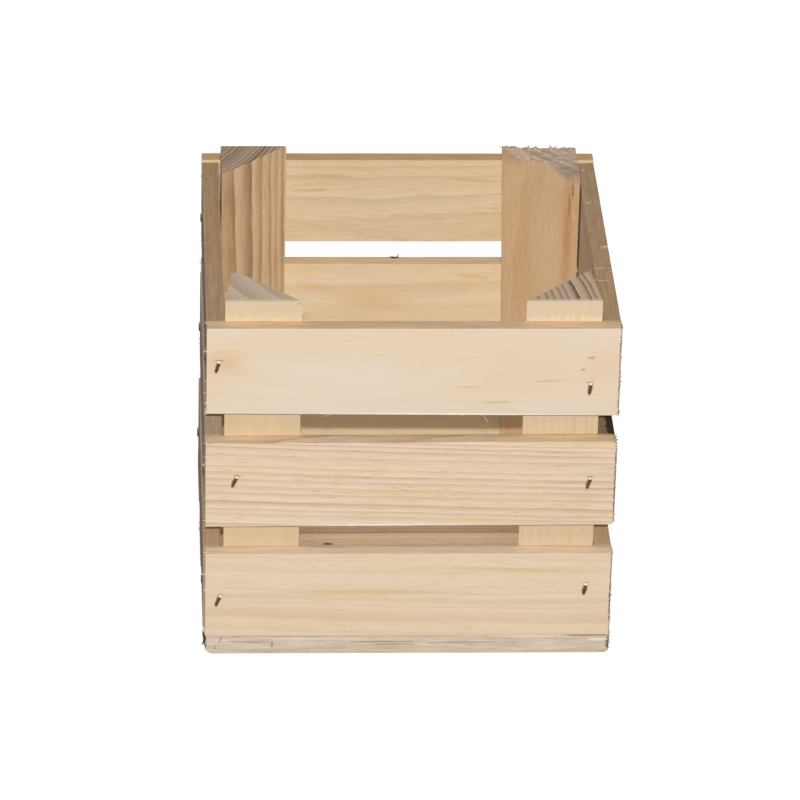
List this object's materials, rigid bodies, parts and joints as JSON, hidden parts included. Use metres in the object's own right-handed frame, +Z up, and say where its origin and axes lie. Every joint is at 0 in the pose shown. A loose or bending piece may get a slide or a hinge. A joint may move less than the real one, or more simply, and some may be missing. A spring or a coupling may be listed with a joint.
{
  "type": "slatted wooden crate",
  "caption": "Small open-topped crate of pale softwood slats stapled to triangular corner posts, with boards across the floor, for holding and carrying goods.",
  "frame": {"origin": "on the ground under the middle of the crate", "axes": "+Z up; +X to the right seen from the front; the front wall faces -Y"},
  "size_m": [0.2026, 0.1986, 0.1904],
  "materials": {
    "slat_wood": "planed softwood, unfinished, fine straight grain",
    "post_wood": "rough-sawn softwood with strong growth stripes and torn end grain",
    "floor_wood": "rough-sawn softwood, slightly greyed",
    "staple_wire": "dull steel wire, lightly browned"
  },
  "bodies": {
    "root": {"corner_post_front_left": "post_wood", "corner_post_front_right": "post_wood", "corner_post_back_left": "post_wood", "corner_post_back_right": "post_wood", "front_slat_bottom": "slat_wood", "front_slat_middle": "slat_wood", "front_slat_top": "slat_wood", "back_slat_bottom": "slat_wood", "back_slat_middle": "slat_wood", "back_slat_top": "slat_wood", "left_slat_bottom": "slat_wood", "left_slat_middle": "slat_wood", "left_slat_top": "slat_wood", "right_slat_bottom": "slat_wood", "right_slat_middle": "slat_wood", "right_slat_top": "slat_wood", "floor_board_front": "floor_wood", "floor_board_middle": "floor_wood", "floor_board_back": "floor_wood", "front_staples": "staple_wire", "back_staples": "staple_wire", "left_staples": "staple_wire", "right_staples": "staple_wire", "floor_staples": "staple_wire"}
  },
  "joints": []
}
